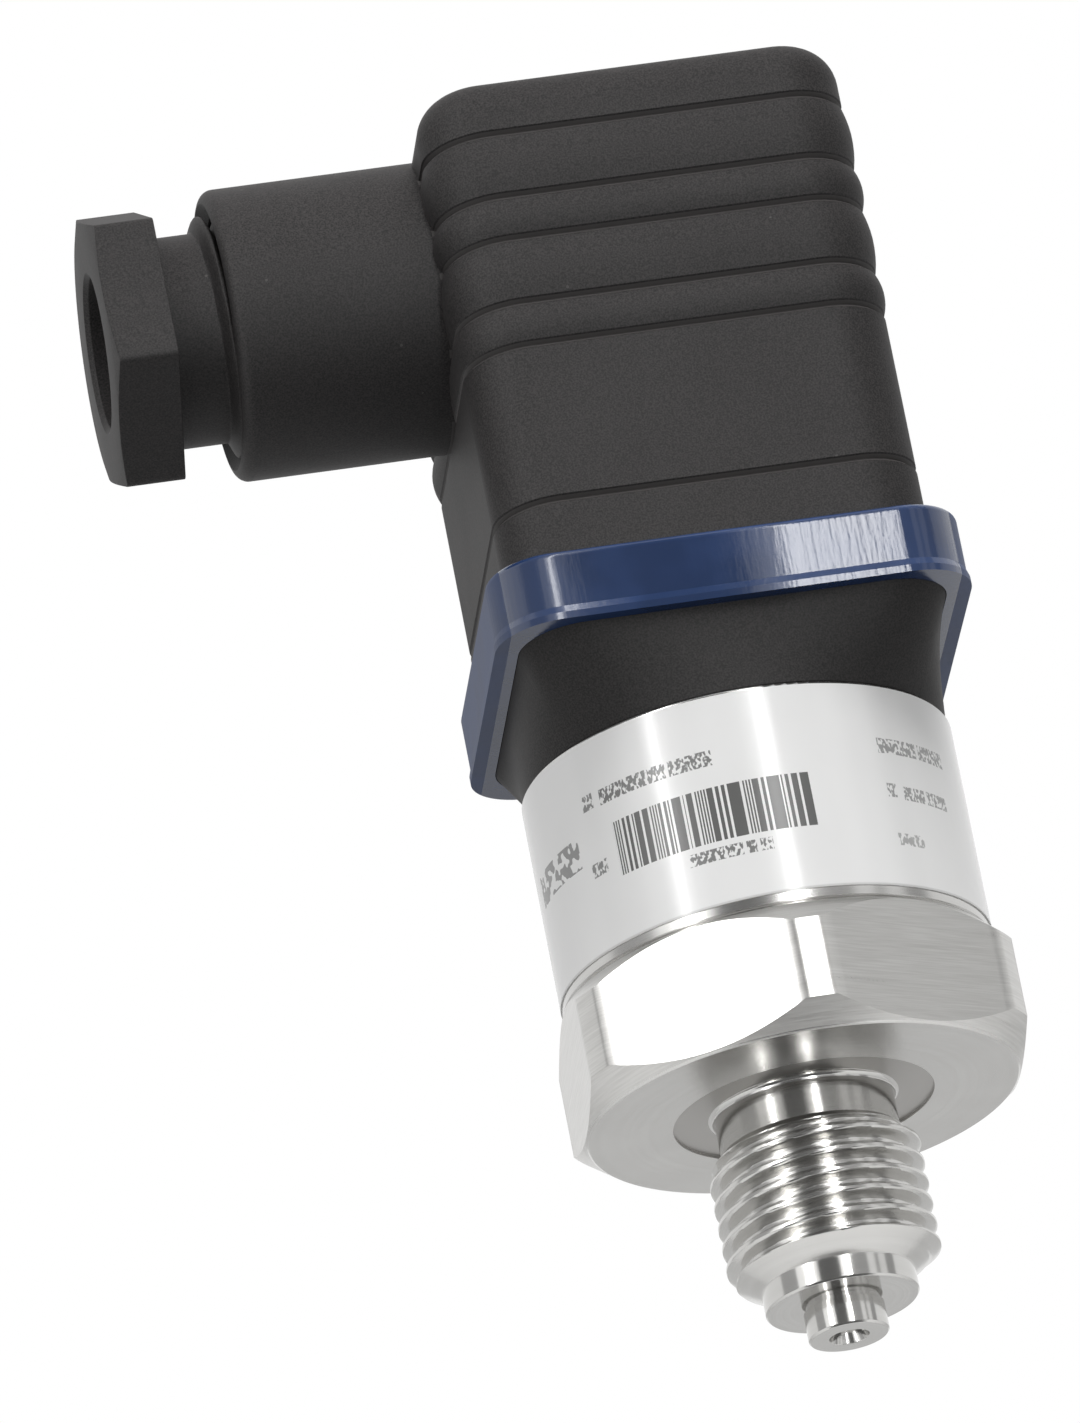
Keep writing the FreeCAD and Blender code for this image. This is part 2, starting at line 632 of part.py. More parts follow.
def gasket():
    """Square rubber frame whose lips wrap the base's rim below and the housing's foot above."""
    corner = GASKET_CORNER
    top = HOUSING_FOOT + GASKET_UPPER_LIP
    slant = GASKET_ROUND * (1 - math.sqrt(0.5))
    crest = V(corner - GASKET_ROUND, 0, top)
    shoulder = V(corner, 0, top - GASKET_ROUND)
    rounding = Part.Arc(crest, V(corner - slant, 0, top - slant), shoulder).toShape()
    wall = Part.makePolygon([
        shoulder, V(corner, 0, RIM_FOOT + GASKET_SKIRT_HEIGHT),
        V(corner + GASKET_SKIRT, 0, RIM_FOOT + GASKET_SKIRT_HEIGHT / 2),
        V(corner + GASKET_SKIRT, 0, RIM_FOOT), V(0, 0, RIM_FOOT), V(0, 0, top), crest])
    section = Part.Face(Part.Wire([rounding] + wall.Edges))
    frame = round_the_corners(section, GASKET_HALF_X, GASKET_HALF_Y, corner)
    core = block(-GASKET_HALF_X + corner, GASKET_HALF_X - corner,
                 -GASKET_HALF_Y + corner, GASKET_HALF_Y - corner, RIM_FOOT, top)
    rim_half = BASE_HALF + GASKET_FIT
    web_top = BASE_FACE + GASKET_WEB
    lower = square_prism(rim_half, rim_half, BASE_CORNER + GASKET_FIT, RIM_FOOT, BASE_FACE)
    upper = square_prism(HOUSING_HALF_X + GASKET_HOUSING_GAP, HOUSING_HALF_Y + GASKET_HOUSING_GAP,
                         HOUSING_CORNER + GASKET_HOUSING_GAP, web_top, top)
    upper.translate(V(-HOUSING_SHIFT, 0, 0))
    window = square_prism(GASKET_WINDOW, GASKET_WINDOW, INSERT_CORNER, RIM_FOOT, top)
    return joined(frame + [core]).cut([lower, upper, window])


# ---- plug housing ----

def housing_section():
    """Half section of the housing's side from a corner's axis: skirt, grip ribs and rounded top."""
    flank = HOUSING_CORNER
    sunk = flank - GROOVE_DEPTH
    edges = []
    here = V(flank, 0, HOUSING_FOOT)
    heights = (SKIRT_GROOVE,) + GRIP_GROOVES
    edges.append(Part.LineSegment(V(0, 0, HOUSING_FOOT), here).toShape())
    for index, height in enumerate(heights):
        groove = HOUSING_FOOT + height
        below = V(flank, 0, groove - GROOVE_HALF_WIDTH)
        above = V(flank, 0, groove + GROOVE_HALF_WIDTH)
        if index < 2:
            edges.append(Part.LineSegment(here, below).toShape())
        else:
            crown = V(flank + RIB_BULGE, 0, (here.z + below.z) / 2)
            edges.append(Part.Arc(here, crown, below).toShape())
        edges.append(Part.LineSegment(below, V(sunk, 0, groove)).toShape())
        edges.append(Part.LineSegment(V(sunk, 0, groove), above).toShape())
        here = above
    shoulder = V(flank, 0, HOUSING_TOP - HOUSING_TOP_ROUND)
    crest = V(flank - HOUSING_TOP_ROUND, 0, HOUSING_TOP)
    slant = HOUSING_TOP_ROUND * (1 - math.sqrt(0.5))
    edges.append(Part.LineSegment(here, shoulder).toShape())
    edges.append(Part.Arc(shoulder, V(flank - slant, 0, HOUSING_TOP - slant), crest).toShape())
    edges.append(Part.LineSegment(crest, V(0, 0, HOUSING_TOP)).toShape())
    edges.append(Part.LineSegment(V(0, 0, HOUSING_TOP), V(0, 0, HOUSING_FOOT)).toShape())
    return Part.Face(Part.Wire(edges))


def gland_barrel():
    """The gland's outside, with a rounded rim."""
    barrel = drum(GLAND_R, HOUSING_HALF_X - HOUSING_WALL / 2, GLAND_END)
    rim = [edge for edge in barrel.Edges if edge.BoundBox.ZMin > GLAND_END - 0.01]
    return along_cable(barrel.makeFillet(GLAND_RIM_ROUND, rim))


def gland_bore():
    """Threaded bore with a chamfered mouth, its seat for the cable seal and the hole into the housing."""
    bore_r = GLAND_THREAD_R + GLAND_THREAD_GAP
    inside = HOUSING_HALF_X - HOUSING_WALL - 0.5
    return along_cable(turned([
        (0, inside), (CABLE_HOLE_R, inside), (CABLE_HOLE_R, GLAND_SEAT), (bore_r, GLAND_SEAT),
        (bore_r, GLAND_END - GLAND_MOUTH_CHAMFER),
        (bore_r + GLAND_MOUTH_CHAMFER, GLAND_END),
        (bore_r + GLAND_MOUTH_CHAMFER, GLAND_END + 1), (0, GLAND_END + 1),
    ]))


def plug_housing():
    """Ribbed square housing with its gland, the screw's boss and the ribs that stop the insert."""
    half_x = HOUSING_HALF_X - HOUSING_WALL
    half_y = HOUSING_HALF_Y - HOUSING_WALL
    cavity_corner = HOUSING_CORNER - HOUSING_WALL
    outer = round_the_corners(housing_section(), HOUSING_HALF_X, HOUSING_HALF_Y, HOUSING_CORNER)
    core = block(-HOUSING_HALF_X + HOUSING_CORNER, HOUSING_HALF_X - HOUSING_CORNER,
                 -HOUSING_HALF_Y + HOUSING_CORNER, HOUSING_HALF_Y - HOUSING_CORNER,
                 HOUSING_FOOT, HOUSING_TOP)
    body = joined(outer + [core])
    body.translate(V(-HOUSING_SHIFT, 0, 0))
    body = body.fuse(gland_barrel()).removeSplitter()
    body = body.cut(square_prism(half_x, half_y, cavity_corner, HOUSING_FOOT, CAVITY_TOP))
    inside = [drum(BOSS_R, CAVITY_TOP - BOSS_DROP, CAVITY_TOP + 0.5)]
    for x in (-half_x, half_x):
        for y in (-half_y, half_y):
            inside.append(drum(STOP_RIB_R, INSERT_TOP, CAVITY_TOP + 0.5, x, y))
    allowed = square_prism(half_x + 0.5, half_y + 0.5, cavity_corner + 0.5, HOUSING_FOOT, CAVITY_TOP + 0.5)
    ribs = [piece.common(allowed) for piece in inside]
    body = joined([body] + ribs)
    body = body.cut(gland_bore())
    body = body.cut(drum(HEAD_RECESS_R, RECESS_FLOOR, HOUSING_TOP))
    return body.cut(drum(M3_R + SHANK_GAP, HOUSING_FOOT, HOUSING_TOP))


# ---- cable gland ----

def cable_seal():
    """Rubber ring that is squeezed onto a cable."""
    outer = GLAND_THREAD_R + GLAND_THREAD_GAP - CABLE_SEAL_GAP
    return along_cable(turned([
        (CABLE_SEAL_BORE_R, GLAND_SEAT), (outer - CABLE_SEAL_CHAMFER, GLAND_SEAT),
        (outer, GLAND_SEAT + CABLE_SEAL_CHAMFER), (outer, CABLE_SEAL_END - CABLE_SEAL_CHAMFER),
        (outer - CABLE_SEAL_CHAMFER, CABLE_SEAL_END), (CABLE_SEAL_BORE_R, CABLE_SEAL_END),
    ]))


def slip_washer():
    """Ring on the pressure screw's nose, so that the screw turns without twisting the seal."""
    outer = GLAND_THREAD_R + GLAND_THREAD_GAP - WASHER_SIDE_GAP
    return along_cable(ring(outer, NOSE_R + NOSE_GAP, WASHER_INNER, SCREW_INNER))


def pressure_screw():
    """Hollow screw that squeezes the seal: nose, thread, smooth neck and hexagon."""
    flare_r = SCREW_BORE_R + SCREW_FLARE
    nose_end = WASHER_INNER + NOSE_STEP
    root_r = GLAND_THREAD_R - GLAND_THREAD_CHAMFER
    hex_corner = GLAND_HEX_AF / math.sqrt(3)
    body = turned([
        (SCREW_BORE_R, nose_end), (NOSE_R, nose_end), (NOSE_R, SCREW_INNER), (root_r, SCREW_INNER),
        (GLAND_THREAD_R, SCREW_INNER + GLAND_THREAD_CHAMFER),
        (GLAND_THREAD_R, GLAND_THREAD_END - GLAND_THREAD_CHAMFER),
        (GLAND_NECK_R, GLAND_THREAD_END),
        (GLAND_NECK_R, GLAND_HEX_INNER), (hex_corner, GLAND_HEX_INNER),
        (hex_corner, GLAND_HEX_OUTER - GLAND_HEX_CHAMFER), (GLAND_HEX_FACE_R, GLAND_HEX_OUTER),
        (flare_r, GLAND_HEX_OUTER), (SCREW_BORE_R, GLAND_HEX_OUTER - SCREW_FLARE),
    ])
    # On the laid-down axis a flat that faces -Y here faces -Y there too.
    turn = 30 + GLAND_HEX_TURN
    hexagon = hexagon_prism(GLAND_HEX_AF, GLAND_HEX_INNER, GLAND_HEX_OUTER, turn, GLAND_HEX_EDGE_R)
    shank = drum(GLAND_THREAD_R, nose_end, GLAND_HEX_INNER)
    return along_cable(body.common(joined([hexagon, shank])))


# ---- terminals ----

def terminal_insert():
    """Block that carries the contacts: blade slots below, open screw chambers above, cored corners."""
    body = square_prism(INSERT_HALF, INSERT_HALF, INSERT_CORNER, INSERT_FOOT, INSERT_TOP)
    leaf_reach = BLADE_THICKNESS / 2 + LEAF_GAP + LEAF_THICKNESS + SLOT_GAP
    slot_half = LEAF_WIDTH / 2 + SLOT_GAP
    slot = block(BLADE_RADIUS - leaf_reach, BLADE_RADIUS + leaf_reach, -slot_half, slot_half,
                 INSERT_FOOT, TAB_FOOT)
    chamber = block(COLUMN_HALF, INSERT_HALF + 1, -CHAMBER_HALF_WIDTH, CHAMBER_HALF_WIDTH,
                    TAB_FOOT, INSERT_TOP)
    shank_foot = PLATE_TOP - TERMINAL_SHANK - SHANK_GAP
    shank = drum(M3_R + SHANK_GAP, shank_foot, TAB_FOOT, TERMINAL_RADIUS)
    cuts = [at_quarter(shape, angle) for shape in (slot, chamber, shank) for angle in QUARTERS]
    pocket = square_prism(POCKET_HALF, POCKET_HALF, POCKET_CORNER, INSERT_FOOT + POCKET_FLOOR, INSERT_TOP)
    for x in (-POCKET_CENTRE, POCKET_CENTRE):
        for y in (-POCKET_CENTRE, POCKET_CENTRE):
            cuts.append(pocket.translated(V(x, y, 0)))
    cuts.append(drum(M3_R + SHANK_GAP, INSERT_FOOT, INSERT_TOP))
    return body.cut(cuts)


def contact():
    """Folded strip on the +X side: two leaves grip the blade, and the tab takes the screw."""
    inner_face = BLADE_RADIUS - BLADE_THICKNESS / 2 - LEAF_GAP
    outer_face = BLADE_RADIUS + BLADE_THICKNESS / 2 + LEAF_GAP
    back = inner_face - LEAF_THICKNESS
    front = outer_face + LEAF_THICKNESS
    foot = INSERT_FOOT + LEAF_FOOT
    flare = foot + LEAF_FLARE
    outline = [
        (TAB_INNER, TAB_FOOT), (back, TAB_FOOT), (back, foot), (inner_face - LEAF_FLARE, foot),
        (inner_face, flare), (inner_face, TAB_FOOT), (outer_face, TAB_FOOT), (outer_face, flare),
        (outer_face + LEAF_FLARE, foot), (front, foot), (front, TAB_TOP), (TAB_INNER, TAB_TOP),
    ]
    points = [V(x, -LEAF_WIDTH / 2, z) for x, z in outline]
    strip = Part.Face(Part.makePolygon(points + points[:1])).extrude(V(0, LEAF_WIDTH, 0))
    return strip.cut(drum(M3_R + M3_GAP, TAB_FOOT, TAB_TOP, TERMINAL_RADIUS))


def clamp_plate(angle):
    """Square plate under the screw's head that presses the wire on the tab."""
    plate = block(TERMINAL_RADIUS - PLATE_HALF_DEPTH, TERMINAL_RADIUS + PLATE_HALF_DEPTH,
                  -PLATE_HALF_WIDTH, PLATE_HALF_WIDTH, TAB_TOP, PLATE_TOP)
    plate = plate.cut(drum(M3_R + M3_GAP, TAB_TOP, PLATE_TOP, TERMINAL_RADIUS))
    return at_quarter(plate, angle)


def terminal_screw(angle):
    """Slotted M3 screw of one terminal."""
    top = PLATE_TOP + TERMINAL_HEAD_HEIGHT
    foot = PLATE_TOP - TERMINAL_SHANK
    screw = turned([
        (0, foot), (M3_R - EDGE_BREAK, foot), (M3_R, foot + EDGE_BREAK), (M3_R, PLATE_TOP),
        (TERMINAL_HEAD_R, PLATE_TOP), (TERMINAL_HEAD_R, top - EDGE_BREAK),
        (TERMINAL_HEAD_R - EDGE_BREAK, top), (0, top),
    ])
    slot = block(-TERMINAL_HEAD_R, TERMINAL_HEAD_R, -SLOT_WIDTH / 2, SLOT_WIDTH / 2, top - SLOT_DEPTH, top)
    screw = screw.cut(slot)
    screw.translate(V(TERMINAL_RADIUS, 0, 0))
    return at_quarter(screw, angle)


# ---- fixing screw ----

def screw_seal():
    """Rubber washer under the fixing screw's head."""
    return ring(SCREW_SEAL_R, WAIST_R + M3_GAP, RECESS_FLOOR, HEAD_FOOT)


def fixing_screw():
    """Long captive screw with a waist, that ties the plug to the nut in the base."""
    tip = NUT_TOP - FIXING_TIP_IN_NUT
    thread_top = tip + FIXING_THREAD_LENGTH
    top = HEAD_FOOT + FIXING_HEAD_HEIGHT
    step = M3_R - WAIST_R
    screw = turned([
        (0, tip), (M3_R - EDGE_BREAK, tip), (M3_R, tip + EDGE_BREAK), (M3_R, thread_top - step),
        (WAIST_R, thread_top), (WAIST_R, HEAD_FOOT), (FIXING_HEAD_R, HEAD_FOOT),
        (FIXING_HEAD_R, top - EDGE_BREAK), (FIXING_HEAD_R - EDGE_BREAK, top), (0, top),
    ])
    arm = (CROSS_LENGTH, CROSS_WIDTH, CROSS_DEPTH)
    cross = [at_quarter(centred_block(arm, 0, 0, top - CROSS_DEPTH), angle) for angle in QUARTERS[:2]]
    return screw.cut(cross)


# ---- write one file for each piece ----

def pieces():
    """Every piece by its name."""
    made = {
        "process_fitting": process_fitting(),
        "cell_seal": cell_seal(),
        "pressure_cell": pressure_cell(),
        "thrust_ring": thrust_ring(),
        "sensor_pins": sensor_pins(),
        "tube": tube(),
        "label": label(),
        "connector_base": connector_base(),
        "base_seal": base_seal(),
        "centre_nut": centre_nut(),
        "line_blades": line_blades(),
        "earth_blade": earth_blade(),
        "circuit_board": circuit_board(),
        "converter_chip": converter_chip(),
        "input_capacitor": input_capacitor(),
        "filter_capacitors": filter_capacitors(),
        "surge_diodes": surge_diodes(),
        "gasket": gasket(),
        "plug_housing": plug_housing(),
        "cable_seal": cable_seal(),
        "slip_washer": slip_washer(),
        "pressure_screw": pressure_screw(),
        "terminal_insert": terminal_insert(),
        "line_contacts": group([at_quarter(contact(), angle) for angle in LINE_ANGLES]),
        "earth_contact": at_quarter(contact(), EARTH_ANGLE),
        "screw_seal": screw_seal(),
        "fixing_screw": fixing_screw(),
    }
    for number, angle in enumerate(QUARTERS, start=1):
        made["clamp_plate_%d" % number] = clamp_plate(angle)
        made["terminal_screw_%d" % number] = terminal_screw(angle)
    return made


os.makedirs("parts", exist_ok=True)
for name, shape in pieces().items():
    shape.translate(V(0, 0, SHANK_LENGTH))
    solids = shape.Solids
    size = shape.BoundBox
    print("%-18s solids %d valid %s volume %9.2f  z %.2f..%.2f" % (
        name, len(solids), shape.isValid(), shape.Volume, size.ZMin, size.ZMax))
    kept = solids[0] if len(solids) == 1 else Part.makeCompound(solids)
    kept.exportStep("parts/%s.step" % name)
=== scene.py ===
import bpy
import json
import math
from mathutils import Matrix, Vector


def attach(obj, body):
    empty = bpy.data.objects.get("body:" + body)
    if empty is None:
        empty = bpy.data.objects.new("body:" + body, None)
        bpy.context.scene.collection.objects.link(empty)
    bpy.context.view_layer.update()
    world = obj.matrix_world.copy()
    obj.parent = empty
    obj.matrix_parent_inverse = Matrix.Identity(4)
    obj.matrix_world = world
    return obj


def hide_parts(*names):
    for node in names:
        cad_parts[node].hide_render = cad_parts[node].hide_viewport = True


# Pressure transmitter: finishes, screw threads and studio.
# Metres in the part's frame. The instrument's sizes, named in capitals, are millimetres.

MM = 0.001

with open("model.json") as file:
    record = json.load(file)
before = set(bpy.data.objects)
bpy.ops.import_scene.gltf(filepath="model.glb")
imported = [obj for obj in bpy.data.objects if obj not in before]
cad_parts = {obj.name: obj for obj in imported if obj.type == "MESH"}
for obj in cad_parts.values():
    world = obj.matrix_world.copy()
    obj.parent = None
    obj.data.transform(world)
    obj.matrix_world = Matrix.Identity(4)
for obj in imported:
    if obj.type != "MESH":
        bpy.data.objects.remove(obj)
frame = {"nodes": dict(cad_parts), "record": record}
nodes = frame["nodes"]
mounts = {mount["name"]: mount for mount in frame["record"]["mounts"]}
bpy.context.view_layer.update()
SEAT = mounts["seat"]["pos_m"][2] / MM
gland_axis = mounts["cable_entry"]["pos_m"][2]      # its height, in metres
HOUSING_FOOT = min(point.co.z for point in nodes["plug_housing"].data.vertices) / MM
HOUSING_SIDE = -13.55       # just outside the housing, where its gland begins
GRIP_GROOVES = (5.35, 15.77, 18.64, 22.94, 25.8, 30.03)     # heights over the housing's foot


# ---- finishes ----

def colour(red, green, blue):
    return (red, green, blue, 1.0)


class Value:
    """A number, a colour or a direction among the nodes. Sums on it add Math nodes."""

    def __init__(self, graph, socket):
        self.graph = graph
        self.socket = socket

    def sum(self, operation, *terms):
        return self.graph.add("ShaderNodeMath", {"operation": operation}, dict(enumerate(terms)))

    def __add__(self, other):
        return self.sum("ADD", self, other)

    def __radd__(self, other):
        return self.sum("ADD", other, self)

    def __sub__(self, other):
        return self.sum("SUBTRACT", self, other)

    def __rsub__(self, other):
        return self.sum("SUBTRACT", other, self)

    def __mul__(self, other):
        return self.sum("MULTIPLY", self, other)

    def __rmul__(self, other):
        return self.sum("MULTIPLY", other, self)

    def __truediv__(self, other):
        return self.sum("DIVIDE", self, other)

    def __rtruediv__(self, other):
        return self.sum("DIVIDE", other, self)

    def __pow__(self, other):
        return self.sum("POWER", self, other)

    def __rpow__(self, other):
        return self.sum("POWER", other, self)

    def __gt__(self, other):
        return self.sum("GREATER_THAN", self, other)

    def __lt__(self, other):
        return self.sum("LESS_THAN", self, other)

    def between(self, low, high):
        return (self > low) * (self < high)

    def rise(self, low, high):
        """0 below low and 1 above high, with a smooth step from one to the other."""
        return self.graph.add("ShaderNodeMapRange", {"interpolation_type": "SMOOTHSTEP"},
                              {"Value": self, "From Min": low, "From Max": high})


class Graph:
    """The nodes of a finish or of the world."""

    def __init__(self, tree):
        self.tree = tree
        self.tree.nodes.clear()

    def node(self, kind, settings=None, inputs=None):
        made = self.tree.nodes.new(kind)
        for name, value in (settings or {}).items():
            setattr(made, name, value)
        for key, value in (inputs or {}).items():
            if isinstance(value, Value):
                self.tree.links.new(value.socket, made.inputs[key])
            else:
                made.inputs[key].default_value = value
        return made

    def add(self, kind, settings=None, inputs=None, output=0):
        return Value(self, self.node(kind, settings, inputs).outputs[output])


class Finish(Graph):
    """One procedural material, drawn in the part's own coordinates."""

    def __init__(self, name):
        self.material = bpy.data.materials.new(name)
        self.material.use_nodes = True
        super().__init__(self.material.node_tree)
        self.place = self.add("ShaderNodeTexCoord", output="Object")
        self.x, self.y, self.z = self.parts(self.place)

    def parts(self, vector):
        split = self.node("ShaderNodeSeparateXYZ", inputs={0: vector})
        return [Value(self, socket) for socket in split.outputs]

    def vector(self, x, y, z):
        return self.add("ShaderNodeCombineXYZ", inputs={0: x, 1: y, 2: z})

    def grain(self, size, detail=2.0, stretch=(1, 1, 1), of=None, roughness=0.5):
        """Noise from 0 to 1 whose features are about size metres wide."""
        scaled = self.add("ShaderNodeVectorMath", {"operation": "MULTIPLY"},
                          {0: of or self.place, 1: stretch})
        return self.add("ShaderNodeTexNoise", inputs={
            "Vector": scaled, "Scale": 1 / size, "Detail": detail, "Roughness": roughness})

    def specks(self, size, share):
        """1 in small round specks that sit in a share of cells of that size."""
        cells = self.node("ShaderNodeTexVoronoi", inputs={"Vector": self.place, "Scale": 1 / size})
        distance = Value(self, cells.outputs["Distance"])
        chance = self.parts(Value(self, cells.outputs["Color"]))[0]
        return (distance < 0.085) * (chance < share)

    def blend(self, factor, first, second):
        return self.add("ShaderNodeMix", {"data_type": "RGBA"}, {0: factor, 6: first, 7: second}, 2)

    def bump(self, height, distance, strength=1.0, over=None):
        inputs = {"Height": height, "Distance": distance, "Strength": strength}
        if over:
            inputs["Normal"] = over
        return self.add("ShaderNodeBump", inputs=inputs)

    def surface(self, base, roughness, metallic=0.0, normal=None, **fixed):
        inputs = {"Base Color": base, "Roughness": roughness, "Metallic": metallic}
        if normal:
            inputs["Normal"] = normal
        inputs.update(fixed)
        return self.finished(self.add("ShaderNodeBsdfPrincipled", inputs=inputs))

    def finished(self, shader):
        self.node("ShaderNodeOutputMaterial", inputs={"Surface": shader})
        return self.material


def sleeve_steel():
    """Stainless steel with fine rings from the lathe, so it blurs only along its profile."""
    steel = Finish("sleeve_steel")
    line = 0.00009
    tone = (0.60, 0.595, 0.58)
    radius = (steel.x * steel.x + steel.y * steel.y) ** 0.5
    profile = steel.vector(radius, 0.0, steel.z)
    rings = steel.grain(line, 3.0, of=profile)
    broad = steel.grain(line * 9, 2.0, of=profile)
    cloud = steel.grain(0.004, 3.0)
    normal = steel.bump(rings * 0.7 + broad * 0.6, 0.000008, 0.5)
    shade = (rings * 0.35 + broad * 0.4 + cloud * 0.25).rise(0.3, 0.72)
    base = steel.blend(shade, colour(*(part * 0.88 for part in tone)), colour(*tone))
    return steel.surface(base, 0.14 + rings * 0.06 + cloud * 0.04, 1.0, normal)


def fitting_steel():
    """Turned steel whose hexagon flats are milled and whose seal recess is rougher, its colour darkened as
    painted shade.
    """
    steel = Finish("fitting_steel")
    radius = (steel.x * steel.x + steel.y * steel.y) ** 0.5
    profile = steel.vector(radius, 0.0, steel.z)
    level = steel.z / MM - SEAT
    flats = (level > 0.06) * (radius > 0.01345)
    recess = level.between(0.1, 0.3) * radius.between(0.0059, 0.0081)
    rings = steel.grain(0.00006, 3.0, of=profile)
    broad = steel.grain(0.0006, 2.0, of=profile)
    brushed = steel.grain(0.00009, 3.0, stretch=(0.03, 0.03, 1))
    milled = steel.grain(0.0006, 2.0, stretch=(0.07, 0.07, 1))
    cloud = steel.grain(0.004, 3.0)
    lines = (rings * 0.7 + broad * 0.5) * (1 - flats) + (brushed * 1.6 + milled * 0.8) * flats
    turned_shade = (lines * 0.6 + cloud * 0.3).rise(0.3, 0.8)
    milled_shade = (brushed * 0.7 + milled * 0.3).rise(0.25, 0.75)
    shade = turned_shade * (1 - flats) + milled_shade * flats
    darker = steel.blend(flats, colour(0.53, 0.525, 0.51), colour(0.50, 0.495, 0.48))
    base = steel.blend(shade, darker, colour(0.615, 0.61, 0.595))
    # Painted shade: the seal recess is painted darker than the turned steel.
    base = steel.blend(recess * 0.9, base, colour(0.36, 0.35, 0.335))
    seat = (level < 0.05) * (radius > 0.0079)
    thread = level.between(-11.5, -2.4)
    roughness = 0.1 + rings * 0.05 + flats * (0.12 + milled * 0.12)
    roughness = roughness + recess * 0.2 + thread * 0.05 + seat * 0.12
    return steel.surface(base, roughness, 1.0, steel.bump(lines, 0.000009, 0.5))


def grained_nylon(name, tone, grain=0.00022, depth=0.000016, roughness=0.56, shine=0.32, grooves=()):
    """Dull black nylon with a spark-eroded grain and a few pale specks of dust; its grooves are painted
    paler, as painted light against the shade that falls in them.
    """
    nylon = Finish(name)
    fine = nylon.grain(grain, 2.0)
    coarse = nylon.grain(grain * 2.6, 1.0)
    cloud = nylon.grain(0.006, 3.0)
    dust = nylon.specks(0.0011, 0.035)
    height = fine * 0.6 + coarse * 0.4
    normal = nylon.bump(height, depth, 0.8)
    speckle = nylon.grain(0.00011, 1.0)
    base = nylon.blend(speckle.rise(0.25, 0.75), colour(*(part * 0.2 for part in tone)),
                       colour(*(part * 1.8 for part in tone)))
    base = nylon.blend(dust * 0.4, base, colour(0.11, 0.105, 0.10))
    for groove in grooves:
        # Painted light: each grip groove is painted paler than the nylon, to lift the shade that falls in
        # it.
        painted_groove_light = nylon.z.between(groove - 0.0002, groove + 0.0002) * (nylon.x > HOUSING_SIDE * MM)
        base = nylon.blend(painted_groove_light, base, colour(0.058, 0.054, 0.053))
    return nylon.surface(base, roughness + cloud * 0.08 + fine * 0.06, 0.0, normal,
                         **{"Specular IOR Level": shine})


def blue_rubber():
    """Glossy rubber frame, a little bowed along its front, with fine upright ripples from its mould."""
    rubber = Finish("blue_rubber")
    ripple = rubber.grain(0.0003, 1.0, stretch=(1, 1, 0.12))
    fine = rubber.grain(0.00025, 2.0)
    cloud = rubber.grain(0.004, 2.0)
    across = rubber.x / MM
    left, right = (across - 4.5) * (across < 4.5), (across - 10.5) * (across > 10.5)
    height = (left * left * -0.014 - right * right * 0.05) * MM + (ripple * 0.7 + fine * 0.3) * 0.000009
    base = rubber.blend(cloud.rise(0.35, 0.65), colour(0.015, 0.034, 0.098), colour(0.019, 0.042, 0.120))
    flank = across * across > 196
    roughness = 0.10 + cloud * 0.04 + fine * 0.04 + flank * 0.45
    return rubber.surface(base, roughness, 0.0, rubber.bump(height, 1.0), **{"Specular IOR Level": 0.55})


def black_rubber():
    rubber = Finish("black_rubber")
    fine = rubber.grain(0.0002, 2.0)
    base = rubber.blend(fine, colour(0.012, 0.012, 0.012), colour(0.022, 0.022, 0.021))
    return rubber.surface(base, 0.45 + fine * 0.2, 0.0, rubber.bump(fine, 0.00001, 0.6))


# Where the label is printed: first and last angle round the tube, lower and upper height, darkness.
# Rows of small shapes that mean nothing stand there.
LINES_OF_PRINT = [
    (-145.0, -141.0, 33.1, 34.1, 0.72), (-138.5, -105.0, 33.0, 34.0, 0.80),
    (-145.8, -140.0, 28.8, 29.7, 0.72), (-116.0, -93.5, 26.9, 27.7, 0.80),
    (-59.0, -32.5, 32.9, 33.9, 0.62), (-58.5, -55.5, 30.0, 30.9, 0.62), (-53.0, -35.0, 29.9, 30.8, 0.62),
    (-58.0, -49.0, 26.8, 27.6, 0.5), (-176.0, -149.5, 29.9, 31.9, 0.7),
    (18.0, 64.0, 32.6, 33.7, 0.8), (18.0, 50.0, 30.2, 31.0, 0.7), (18.0, 57.0, 28.4, 29.2, 0.7),
    (18.0, 44.0, 26.6, 27.4, 0.7),
]
BAR_STRIP = (-136.0, -81.0, 28.1, 31.6)


def label_film():
    """White glossy film with rows of meaningless marks and a strip of upright strokes."""
    film = Finish("label_film")
    angle = film.add("ShaderNodeMath", {"operation": "ARCTAN2"}, {0: film.y, 1: film.x}) * math.degrees(1)
    height = film.z / MM
    marks = film.grain(1.0, 1.0, of=film.vector(angle * 1.1, height * 2.6, 0.0)).rise(0.44, 0.52)
    spaces = film.grain(1.0, 0.0, of=film.vector(angle * 0.55, 5.0, 0.0)) > 0.36
    small_marks = marks * spaces
    heavy = film.grain(1.0, 1.0, of=film.vector(angle * 0.3, height * 1.3, 9.0)).rise(0.47, 0.5)
    first, last, low, high = BAR_STRIP
    strokes = film.grain(1.0, 0.0, of=film.vector(angle * 1.25, 11.0, 0.0)) > 0.49
    print_mask = angle.between(first, last) * height.between(low, high) * strokes * 0.9
    for first, last, low, high, dark in LINES_OF_PRINT:
        shapes = small_marks if high - low < 1.5 else heavy
        print_mask = print_mask + angle.between(first, last) * height.between(low, high) * dark * shapes
    cloud = film.grain(0.003, 2.0)
    # Painted shadow: the film is darkened along its lower edge.
    edge = height.rise(24.25, 24.1) * 0.35
    paper = film.blend(cloud, colour(0.83, 0.83, 0.825), colour(0.86, 0.86, 0.855))
    base = film.blend(print_mask, paper, colour(0.035, 0.035, 0.033))
    base = film.blend(edge, base, colour(0.2, 0.2, 0.19))
    soft = film.grain(0.0009, 1.0)
    return film.surface(base, 0.14 + print_mask * 0.1 + cloud * 0.05, 0.0, film.bump(soft, 0.000003, 0.5))


